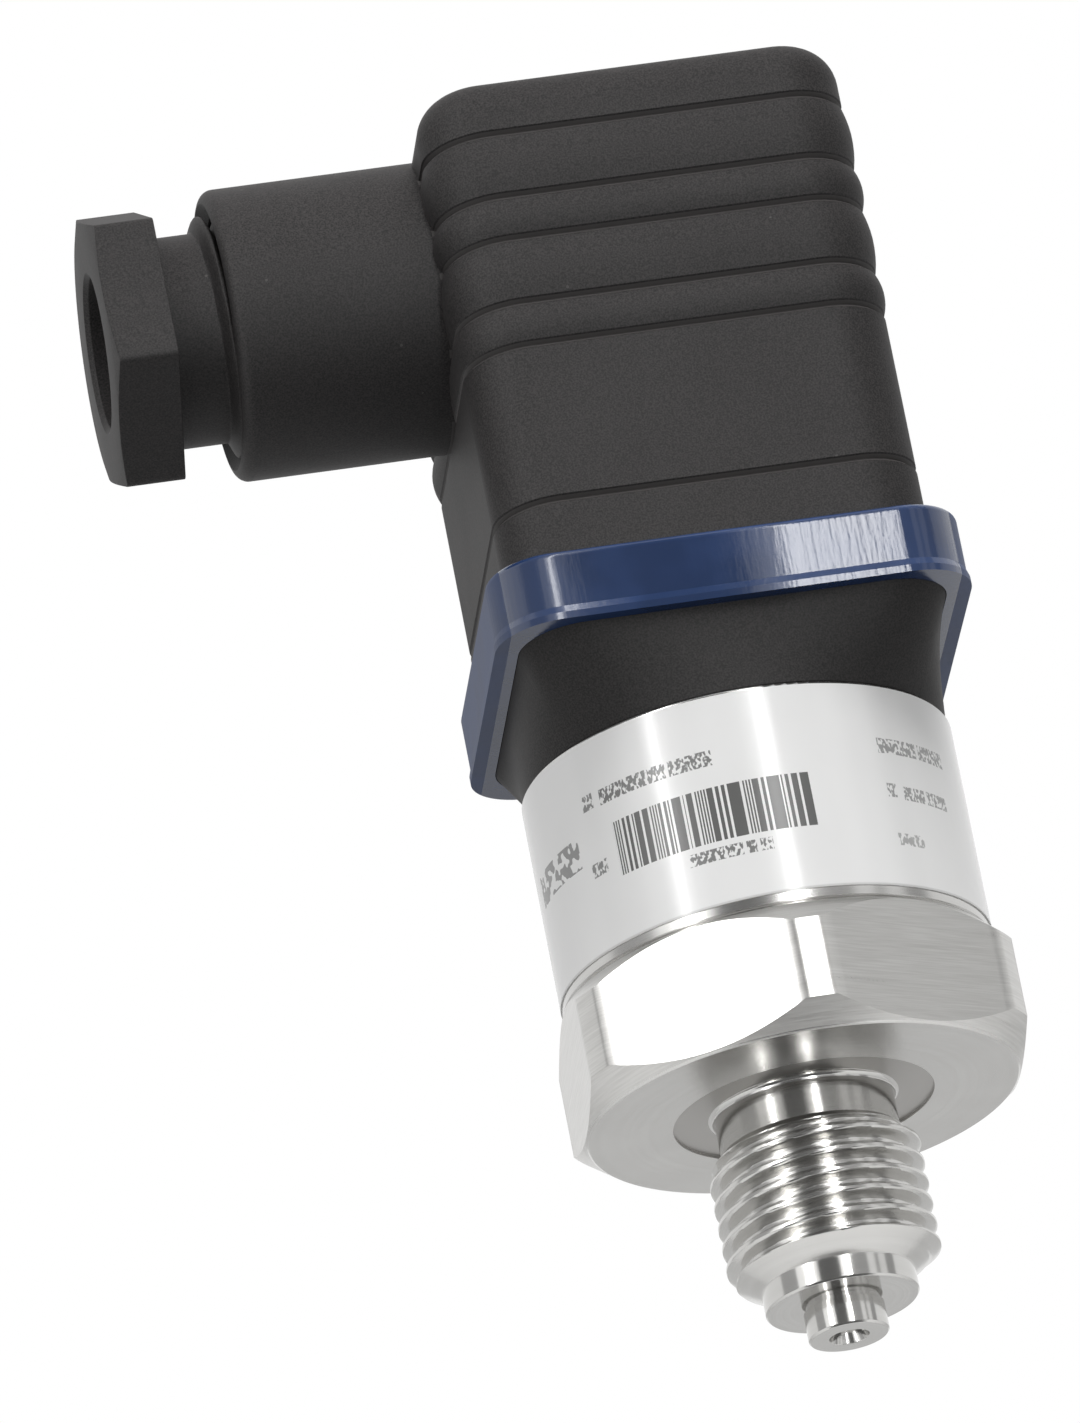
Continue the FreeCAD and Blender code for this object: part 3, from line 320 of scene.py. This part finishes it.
def plain_metal(name, tone, roughness, line=0.0002):
    """Small plated or turned parts."""
    metal = Finish(name)
    fine = metal.grain(line, 3.0, stretch=(1, 1, 0.3))
    cloud = metal.grain(0.0012, 2.0)
    base = metal.blend(cloud, colour(*(part * 0.82 for part in tone)), colour(*tone))
    return metal.surface(base, roughness + fine * 0.15, 1.0, metal.bump(fine, 0.000008, 0.6))


def fired_ceramic():
    ceramic = Finish("ceramic")
    pores = ceramic.grain(0.00015, 3.0)
    base = ceramic.blend(pores, colour(0.68, 0.66, 0.60), colour(0.82, 0.80, 0.74))
    return ceramic.surface(base, 0.35 + pores * 0.3, 0.0, ceramic.bump(pores, 0.00001, 0.5))


def board_laminate():
    """Green lacquer over copper tracks."""
    board = Finish("board_laminate")
    cells = board.add("ShaderNodeTexVoronoi", {"feature": "DISTANCE_TO_EDGE", "distance": "EUCLIDEAN"},
                      {"Vector": board.place, "Scale": 420.0})
    tracks = cells < 0.06
    fine = board.grain(0.0003, 2.0)
    base = board.blend(tracks, colour(0.012, 0.085, 0.035), colour(0.05, 0.20, 0.07))
    base = board.blend(fine * 0.3, base, colour(0.01, 0.05, 0.03))
    return board.surface(base, 0.3 + fine * 0.1, 0.0, board.bump(tracks + fine * 0.2, 0.00002, 0.6))


def moulded_resin(name, tone, roughness):
    resin = Finish(name)
    fine = resin.grain(0.0001, 2.0)
    base = resin.blend(fine, colour(*(part * 0.8 for part in tone)), colour(*tone))
    return resin.surface(base, roughness + fine * 0.15, 0.0, resin.bump(fine, 0.000008, 0.6))


stainless = fitting_steel()
sleeve = sleeve_steel()
housing_nylon = grained_nylon("housing_nylon", (0.0160, 0.0142, 0.0142),
                              grooves=[(HOUSING_FOOT + height) * MM for height in GRIP_GROOVES])
screw_nylon = grained_nylon("screw_nylon", (0.0160, 0.0142, 0.0142))
base_nylon = grained_nylon("base_nylon", (0.0135, 0.0122, 0.0120), shine=0.28)
insert_nylon = grained_nylon("insert_nylon", (0.020, 0.019, 0.019), grain=0.0003)
seal_rubber = black_rubber()
tin = plain_metal("tin_plate", (0.70, 0.69, 0.66), 0.3)
brass = plain_metal("brass", (0.72, 0.50, 0.22), 0.28)
zinc = plain_metal("zinc_plate", (0.60, 0.62, 0.64), 0.3)

FINISHES = {
    "tube": sleeve, "thrust_ring": sleeve, "process_fitting": stainless,
    "label": label_film(), "gasket": blue_rubber(),
    "cell_seal": seal_rubber, "base_seal": seal_rubber, "screw_seal": seal_rubber, "cable_seal": seal_rubber,
    "pressure_cell": fired_ceramic(), "circuit_board": board_laminate(),
    "sensor_pins": tin, "line_blades": tin, "earth_blade": tin, "line_contacts": tin, "earth_contact": tin,
    "centre_nut": brass, "fixing_screw": zinc,
    "connector_base": base_nylon, "plug_housing": housing_nylon, "pressure_screw": screw_nylon,
    "slip_washer": insert_nylon, "terminal_insert": insert_nylon,
    "converter_chip": moulded_resin("chip_resin", (0.018, 0.018, 0.02), 0.45),
    "surge_diodes": moulded_resin("diode_resin", (0.022, 0.022, 0.022), 0.5),
    "input_capacitor": moulded_resin("tantalum_resin", (0.62, 0.36, 0.05), 0.4),
    "filter_capacitors": moulded_resin("capacitor_ceramic", (0.42, 0.30, 0.18), 0.5),
}
for number in range(1, 5):
    FINISHES["clamp_plate_%d" % number] = zinc
    FINISHES["terminal_screw_%d" % number] = zinc

for name, thing in nodes.items():
    thing.data.materials.clear()
    thing.data.materials.append(FINISHES[name])


# ---- pieces turned on a lathe, with a milled hexagon and a real thread ----

def hexagon_reach(across, turn, angle, edge_round=0.0):
    """Distance from the axis to a hexagon's side, its upright edges rounded."""
    off = (angle - turn + 30) % 60 - 30
    flat = across / 2 / math.cos(math.radians(off))
    if edge_round == 0:
        return flat
    centre = (across / 2 - edge_round) / math.cos(math.radians(30))
    from_corner = math.radians(30 - abs(off))
    under = edge_round ** 2 - (centre * math.sin(from_corner)) ** 2
    if under <= 0:
        return flat
    arc = centre * math.cos(from_corner) + math.sqrt(under)
    tangent = math.atan2((across / 2 - edge_round) * math.tan(math.radians(30)), across / 2)
    return arc if abs(math.radians(off)) > tangent else flat


def hexagon_angles(turn, edge, per_flat, per_corner):
    """Directions round the axis, with some exactly on the edges of the flats."""
    angles = []
    for side in range(6):
        middle = turn + 60 * side
        for k in range(per_flat):
            angles.append(middle - edge + 2 * edge * k / per_flat)
        for k in range(per_corner):
            angles.append(middle + edge + 2 * (30 - edge) * k / per_corner)
    return angles


def on_axis(radius, height, angle):
    turn = math.radians(angle)
    return Vector((radius * math.cos(turn), radius * math.sin(turn), height)) * MM


def on_cable_axis(radius, reach, angle):
    """The same for a piece on the cable's axis, where angle 0 is upward."""
    turn = math.radians(angle)
    return Vector((-reach * MM, radius * math.sin(turn) * MM, radius * math.cos(turn) * MM + gland_axis))


def lathe_piece(name, body, replaced, stations, angles, place, finish, edge):
    """Sweep a closed outline round an axis. A station gives its radius and height at each angle."""
    points = []
    for station in stations:
        for angle in angles:
            radius, height = station(angle) if callable(station) else station
            points.append(place(radius, height, angle))
    count = len(angles)
    faces = []
    for ring in range(len(stations)):
        following = (ring + 1) % len(stations)
        for k in range(count):
            after = (k + 1) % count
            faces.append((ring * count + k, ring * count + after,
                          following * count + after, following * count + k))
    mesh = bpy.data.meshes.new(name)
    mesh.from_pydata(points, [], faces)
    mesh.validate()
    for face in mesh.polygons:
        face.use_smooth = True
    mesh.materials.append(finish)
    made = bpy.data.objects.new(name, mesh)
    bpy.context.scene.collection.objects.link(made)
    mesh.set_sharp_from_angle(angle=math.radians(32))
    rounded = made.modifiers.new("broken_edges", "BEVEL")
    rounded.width = edge * MM
    rounded.segments = 2
    rounded.limit_method = "ANGLE"
    rounded.angle_limit = math.radians(34)
    rounded.harden_normals = True
    rounded.use_clamp_overlap = True
    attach(made, body)
    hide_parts(replaced)


def thread_form(phase, crest=0.167):
    """Depth of a rounded V thread from 0 at its crest to 1 at its root."""
    across = abs(2 * (phase - math.floor(phase + 0.5)))
    straight = min(1.0, max(0.0, (across - crest) / (1 - 2 * crest)))
    return 0.5 * straight + 0.5 * (0.5 - 0.5 * math.cos(math.pi * straight))


# -- process fitting --
THREAD_R = mounts["process_thread"]["dims"]["r_mm"]
PORT_R = mounts["pressure_port"]["dims"]["r_mm"]
THREAD_PITCH = 1.337
THREAD_DEPTH = 0.856
THREAD_CREST = 8.84         # height of a crest on the +X side
THREAD_FOOT = 11.4          # below the seat
THREAD_HEAD = 2.4           # below the seat
THREAD_RUN_OUT = 0.9
THREAD_STEPS = 110
NECK_R = 5.55
PILOT_R = 4.75
SPIGOT_R = 2.5
TUBE_R = 13.36
HEX_AF = 27.0
HEX_TURNED_R = 15.06
SEAT_R = 13.3
RECESS_R = 8.1
RECESS_DEPTH = 0.2
NECK_FILLET = 0.4
SPIGOT_END = 1.83
UNDERCUT_R = 2.3
PILOT_FOOT = 2.13
HEX_LOWER = 1.45
HEX_TOP = 8.3
BREAK = 0.12                # small turned edges
CUP_R = 12.18               # the cup over the hexagon, which holds the cell
CUP_RIM = 27.4              # the next heights count from the spigot's end
CUP_BORE_R = 9.9
CELL_RIM = 24.6
CELL_BORE_R = 9.1
CELL_FLOOR = 18.4
CHAMBER_R = 4.0
CHAMBER_FLOOR = 17.6
MOUTH_R = 0.55              # the port's cone narrows to this
MOUTH_DEPTH = 1.75
MOUTH_LENGTH = 2.3


def fitting_stations():
    """The turned outline from the port outward and up, then down the inside of the cell's cup."""
    thread_low, thread_high = SEAT - THREAD_FOOT, SEAT - THREAD_HEAD
    thread_cone = math.tan(math.radians(30))

    def threaded(height):
        def station(angle):
            phase = (height - THREAD_CREST) / THREAD_PITCH - angle / 360
            radius = THREAD_R - THREAD_DEPTH * thread_form(phase)
            low_cone = PILOT_R + (height - thread_low) / thread_cone
            high_cone = NECK_R + (thread_high - height) * (THREAD_R - NECK_R) / THREAD_RUN_OUT
            return min(radius, low_cone, high_cone), height
        return station

    def lower_edge(angle):
        radius = min(hexagon_reach(HEX_AF, 0, angle), HEX_TURNED_R)
        return radius, SEAT + HEX_LOWER * (radius - SEAT_R) / (HEX_TURNED_R - SEAT_R)

    def upper_edge(angle):
        radius = min(hexagon_reach(HEX_AF, 0, angle), HEX_TURNED_R)
        return radius, SEAT + HEX_TOP - (radius - TUBE_R)

    outline = [(PORT_R, 0), (SPIGOT_R - BREAK, 0), (SPIGOT_R, BREAK), (SPIGOT_R, SPIGOT_END),
               (UNDERCUT_R, SPIGOT_END), (UNDERCUT_R, PILOT_FOOT), (PILOT_R - BREAK, PILOT_FOOT),
               (PILOT_R, PILOT_FOOT + BREAK), (PILOT_R, thread_low)]
    outline += [threaded(thread_low + (thread_high - thread_low) * k / THREAD_STEPS)
                for k in range(1, THREAD_STEPS)]
    outline += [(NECK_R, thread_high), (NECK_R, SEAT + RECESS_DEPTH - NECK_FILLET)]
    for k in range(1, 6):
        turn = math.radians(18 * k)
        outline.append((NECK_R + NECK_FILLET * (1 - math.cos(turn)),
                        SEAT + RECESS_DEPTH - NECK_FILLET * (1 - math.sin(turn))))
    outline += [(RECESS_R, SEAT + RECESS_DEPTH), (RECESS_R, SEAT), (SEAT_R, SEAT),
                lower_edge, upper_edge, (TUBE_R, SEAT + HEX_TOP), (CUP_R, SEAT + HEX_TOP), (CUP_R, CUP_RIM),
                (CUP_BORE_R, CUP_RIM), (CUP_BORE_R, CELL_RIM), (CELL_BORE_R, CELL_RIM),
                (CELL_BORE_R, CELL_FLOOR), (CHAMBER_R, CELL_FLOOR), (CHAMBER_R, CHAMBER_FLOOR),
                (PORT_R, CHAMBER_FLOOR), (PORT_R, MOUTH_LENGTH), (MOUTH_R, MOUTH_LENGTH),
                (MOUTH_R, MOUTH_DEPTH)]
    return outline


flat_edge = math.degrees(math.acos(HEX_AF / 2 / HEX_TURNED_R))
lathe_piece("threaded_fitting", "fitting", "process_fitting", fitting_stations(),
            hexagon_angles(0, flat_edge, 20, 6), on_axis, stainless, 0.02)

# -- pressure screw of the cable gland --
GLAND_THREAD_R = 7.6
GLAND_NECK_R = 6.6
GLAND_PITCH = 1.41
GLAND_LAST_CREST = 27.0     # the thread's last crest, at the top, from the instrument's axis
GLAND_THREAD_IN = 20.85
GLAND_THREAD_OUT = 27.7
GLAND_THREAD_STEPS = 60
GLAND_HEX_AF = 16.3
GLAND_HEX_TURN = 33.0       # degrees
GLAND_HEX_EDGE_R = 0.5
GLAND_HEX_IN = 30.25
GLAND_HEX_OUT = 34.2
GLAND_HEX_FACE_R = 8.1
GLAND_HEX_CHAMFER = 0.3
SCREW_BORE_R = mounts["cable_entry"]["dims"]["r_mm"]
SCREW_BORE_FLARE = 0.3
NOSE_R = 5.6
NOSE_END = 20.15


def screw_stations():
    """The hollow screw's outline: nose, thread that runs out, smooth neck and hexagon."""
    corner = GLAND_HEX_AF / math.sqrt(3)
    slope = GLAND_HEX_CHAMFER / (corner - GLAND_HEX_FACE_R)

    def hexagon(angle):
        return hexagon_reach(GLAND_HEX_AF, GLAND_HEX_TURN, angle, GLAND_HEX_EDGE_R)

    def threaded(reach):
        def station(angle):
            turned = (reach - GLAND_LAST_CREST) / GLAND_PITCH * 360
            off = (angle + 180) % 360 - 180
            turns = math.floor((turned - off) / 360 + 0.5)
            fade = min(1.0, max(0.0, (60 - (off + 360 * turns)) / 50))
            height = (GLAND_THREAD_R - GLAND_NECK_R) * (1 - thread_form((turned - off) / 360, 0.12)) * fade
            start = min(1.0, (reach - GLAND_THREAD_IN) / 0.6)
            return GLAND_NECK_R + height * start, reach
        return station

    def inner_end(angle):
        return hexagon(angle), GLAND_HEX_IN

    def chamfer_edge(angle):
        radius = hexagon(angle)
        return radius, GLAND_HEX_OUT - (radius - GLAND_HEX_FACE_R) * slope

    outline = [(SCREW_BORE_R, NOSE_END), (NOSE_R, NOSE_END), (NOSE_R, GLAND_THREAD_IN)]
    outline += [threaded(GLAND_THREAD_IN + (GLAND_THREAD_OUT - GLAND_THREAD_IN) * k / GLAND_THREAD_STEPS)
                for k in range(GLAND_THREAD_STEPS + 1)]
    outline += [(GLAND_NECK_R, GLAND_HEX_IN), inner_end, chamfer_edge, (GLAND_HEX_FACE_R, GLAND_HEX_OUT),
                (SCREW_BORE_R + SCREW_BORE_FLARE, GLAND_HEX_OUT),
                (SCREW_BORE_R, GLAND_HEX_OUT - SCREW_BORE_FLARE)]
    return outline


lathe_piece("hollow_gland_screw", "gland_screw", "pressure_screw", screw_stations(),
            hexagon_angles(GLAND_HEX_TURN, 26.0, 16, 10), on_cable_axis, screw_nylon, 0.12)


# ---- studio ----

def panel(name, azimuth, elevation, distance, width, height, strength, lamp=False):
    """A white panel that faces the object. A lamp lights dull surfaces, the rest are only mirrored."""
    white = Finish(name)
    glow = white.add("ShaderNodeEmission", inputs={"Color": colour(1, 1, 1), "Strength": strength})
    turn, lift = math.radians(azimuth), math.radians(elevation)
    away = Vector((math.cos(turn) * math.cos(lift), math.sin(turn) * math.cos(lift), math.sin(lift)))
    mesh = bpy.data.meshes.new(name)
    w, h = width / 2, height / 2
    mesh.from_pydata([(-w, -h, 0), (w, -h, 0), (w, h, 0), (-w, h, 0)], [], [(0, 1, 2, 3)])
    mesh.materials.append(white.finished(glow))
    made = bpy.data.objects.new(name, mesh)
    bpy.context.scene.collection.objects.link(made)
    made.location = Vector((0, 0, 0.04)) + away * distance
    made.rotation_mode = "QUATERNION"
    made.rotation_quaternion = away.to_track_quat("Z", "Y")
    made.visible_camera = False
    made.visible_shadow = False
    made.visible_diffuse = lamp
    made.visible_glossy = not lamp
    made.visible_transmission = False


# What the metal mirrors, round the instrument: first and last direction, lower and upper height
# as angles, and how bright. None of these light anything else.
MIRRORED = [
    ("strip_left", -160, -146, -25, 56, 1.35),
    ("strip_left_rise", -146, -142, -25, 56, 3.0),
    ("strip_left_core", -142, -137, -25, 56, 13.0),
    ("strip_left_fall", -137, -132, -25, 56, 3.0),
    ("strip_left_edge", -132, -125, -25, 56, 1.25),
    ("card_front", -125, -92, -30, 62, 0.17),
    ("strip_front", -92, -84, -25, 56, 1.7),
    ("strip_front_core", -84, -78.5, -25, 56, 17.0),
    ("card_right", -78.5, -50, -20, 60, 0.46),
    ("strip_thin_first", -50, -38, -25, 56, 1.0),
    ("card_between", -38, -32, -20, 60, 0.5),
    ("strip_thin_second", -32, -20, -25, 56, 0.95),
    ("card_far_right", -20, -4, -20, 60, 0.42),
    ("card_left", -190, -160, -20, 60, 0.5),
]
MIRROR_DISTANCE = 0.7


def span(degrees):
    """Length at the mirrored panels' distance that fills this angle."""
    return 2 * MIRROR_DISTANCE * math.tan(math.radians(degrees / 2))


for title, first, last, foot, head, strength in MIRRORED:
    elevation = (foot + head) / 2
    width = span(last - first) * math.cos(math.radians(elevation))
    panel(title, (first + last) / 2, elevation, MIRROR_DISTANCE, width, span(head - foot), strength)
panel("card_behind", 81, -24, 0.75, 1.1, 0.5, 0.72)
panel("card_low", -98, -58, 0.38, 0.60, 0.34, 0.16)
# The lamps that light the dull surfaces stand over the front.
panel("lamp_over", -60, 70, 0.9, 0.7, 0.5, 10.0, lamp=True)
panel("lamp_front", -122, 26, 0.9, 0.6, 0.4, 4.1, lamp=True)

floor_mesh = bpy.data.meshes.new("floor")
floor_mesh.from_pydata([(-4, -4, -0.45), (4, -4, -0.45), (4, 4, -0.45), (-4, 4, -0.45)], [], [(0, 1, 2, 3)])
floor_finish = Finish("pale_floor")
paint = floor_finish.grain(0.05, 2.0)
floor_mesh.materials.append(floor_finish.surface(
    floor_finish.blend(paint, colour(0.86, 0.86, 0.86), colour(0.90, 0.90, 0.90)), 0.8, 0.0,
    **{"Emission Color": colour(1, 1, 1), "Emission Strength": 0.28}))
floor = bpy.data.objects.new("floor", floor_mesh)
floor.visible_diffuse = False
bpy.context.scene.collection.objects.link(floor)

world = bpy.data.worlds.new("studio")
bpy.context.scene.world = world
world.use_nodes = True
graph = Graph(world.node_tree)
ray = graph.node("ShaderNodeLightPath")
camera_ray, glossy_ray, through_ray = (
    Value(graph, ray.outputs[kind]) for kind in ("Is Camera Ray", "Is Glossy Ray", "Is Transmission Ray"))
# White where it is seen, and lower where it lights the dull surfaces.
level = graph.add("ShaderNodeMapRange", inputs={
    "Value": camera_ray + glossy_ray + through_ray, "To Min": 0.36, "To Max": 1.0})
sky = graph.add("ShaderNodeBackground", inputs={"Color": colour(1, 1, 1), "Strength": level})
graph.node("ShaderNodeOutputWorld", inputs={"Surface": sky})

# ---- camera: metres and degrees, its lens in millimetres ----
AIM = Vector((-10.658, 4.048, 44.882)) * MM
DISTANCE = 0.988096
AZIMUTH, ELEVATION, ROLL = 8.596, -21.779, -11.054
LENS = 404.78

turn, lift, roll = (math.radians(part) for part in (AZIMUTH, ELEVATION, ROLL))
back = Vector((-math.sin(turn) * math.cos(lift), -math.cos(turn) * math.cos(lift), math.sin(lift)))
level_right = Vector((math.cos(turn), -math.sin(turn), 0))
level_up = back.cross(level_right)
right = level_right * math.cos(roll) + level_up * math.sin(roll)
up = level_up * math.cos(roll) - level_right * math.sin(roll)
camera_data = bpy.data.cameras.new("camera")
camera_data.sensor_width = 36
camera_data.lens = LENS
camera_data.clip_start = 0.05
camera_data.clip_end = 20
camera = bpy.data.objects.new("camera", camera_data)
bpy.context.scene.collection.objects.link(camera)
facing = Matrix((right, up, back)).transposed().to_4x4()
camera.matrix_world = Matrix.Translation(AIM + back * DISTANCE) @ facing
bpy.context.scene.camera = camera
bpy.context.scene.view_settings.view_transform = "Standard"
